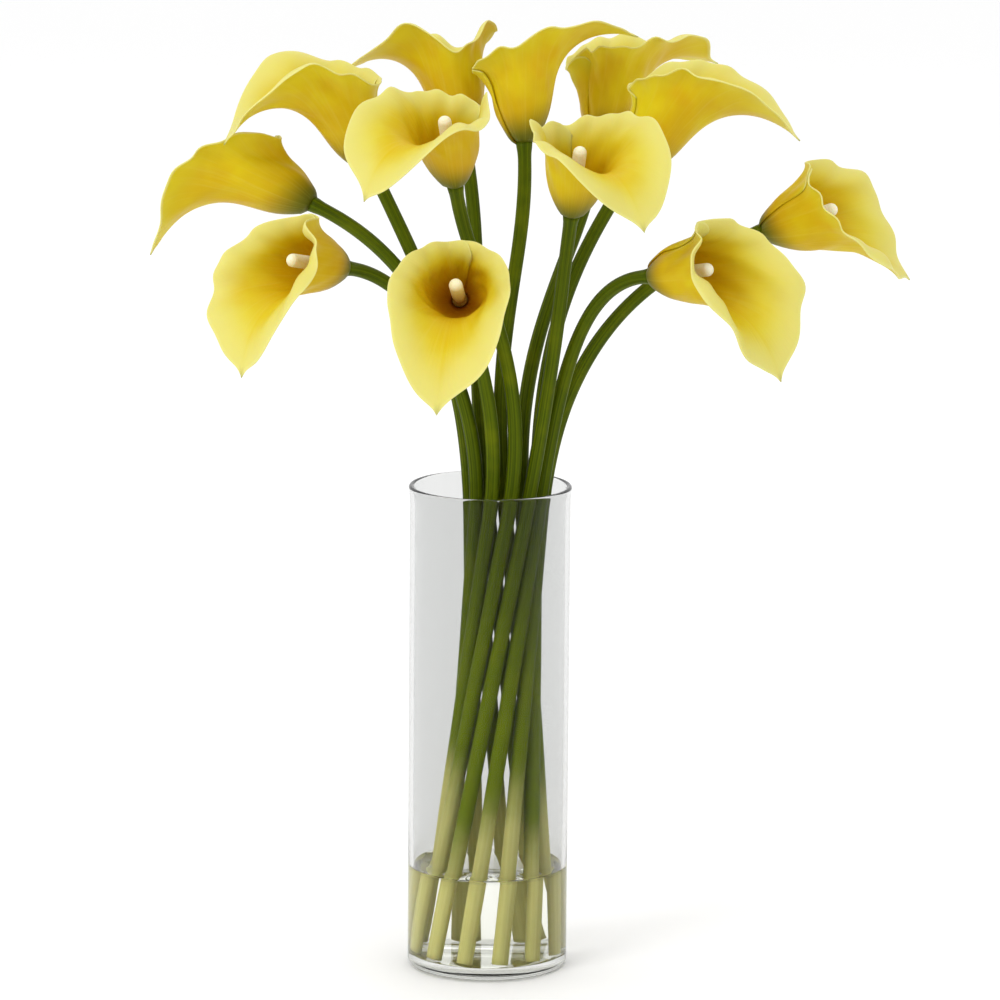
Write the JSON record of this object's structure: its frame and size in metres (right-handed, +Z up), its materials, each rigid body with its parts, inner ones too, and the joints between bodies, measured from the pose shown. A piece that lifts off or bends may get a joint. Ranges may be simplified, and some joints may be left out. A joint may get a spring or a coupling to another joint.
{
  "type": "lilies in a vase",
  "caption": "Yellow calla lilies fanned out of a clear glass cylinder vase with a little water, standing free on a table.",
  "frame": {"origin": "middle of the vase's flat underside, on the surface it stands on", "axes": "+Z up along the vase, -Y towards the front of the arrangement, +X to its right"},
  "size_m": [0.3945, 0.2687, 0.4955],
  "materials": {
    "clear_glass": "clear polished glass, faint grey tint",
    "water": null,
    "stem_green": "waxy satin plant stem, olive green fading to pale green at the foot",
    "petal_yellow": "waxy satin petal, lemon inside and deep yellow outside",
    "spadix_cream": "matte, fine pollen grain"
  },
  "bodies": {
    "root": {"vase": "clear_glass", "water": "water", "stem_01": "stem_green", "stem_02": "stem_green", "stem_03": "stem_green", "stem_04": "stem_green", "stem_05": "stem_green", "stem_06": "stem_green", "stem_07": "stem_green", "stem_08": "stem_green", "stem_09": "stem_green", "stem_10": "stem_green", "stem_11": "stem_green", "stem_12": "stem_green", "spathe_01": "petal_yellow", "spathe_02": "petal_yellow", "spathe_03": "petal_yellow", "spathe_04": "petal_yellow", "spathe_05": "petal_yellow", "spathe_06": "petal_yellow", "spathe_07": "petal_yellow", "spathe_08": "petal_yellow", "spathe_09": "petal_yellow", "spathe_10": "petal_yellow", "spathe_11": "petal_yellow", "spathe_12": "petal_yellow", "spadix_01": "spadix_cream", "spadix_02": "spadix_cream", "spadix_03": "spadix_cream", "spadix_04": "spadix_cream", "spadix_05": "spadix_cream", "spadix_06": "spadix_cream", "spadix_07": "spadix_cream", "spadix_08": "spadix_cream", "spadix_09": "spadix_cream", "spadix_10": "spadix_cream", "spadix_11": "spadix_cream", "spadix_12": "spadix_cream"}
  },
  "joints": []
}
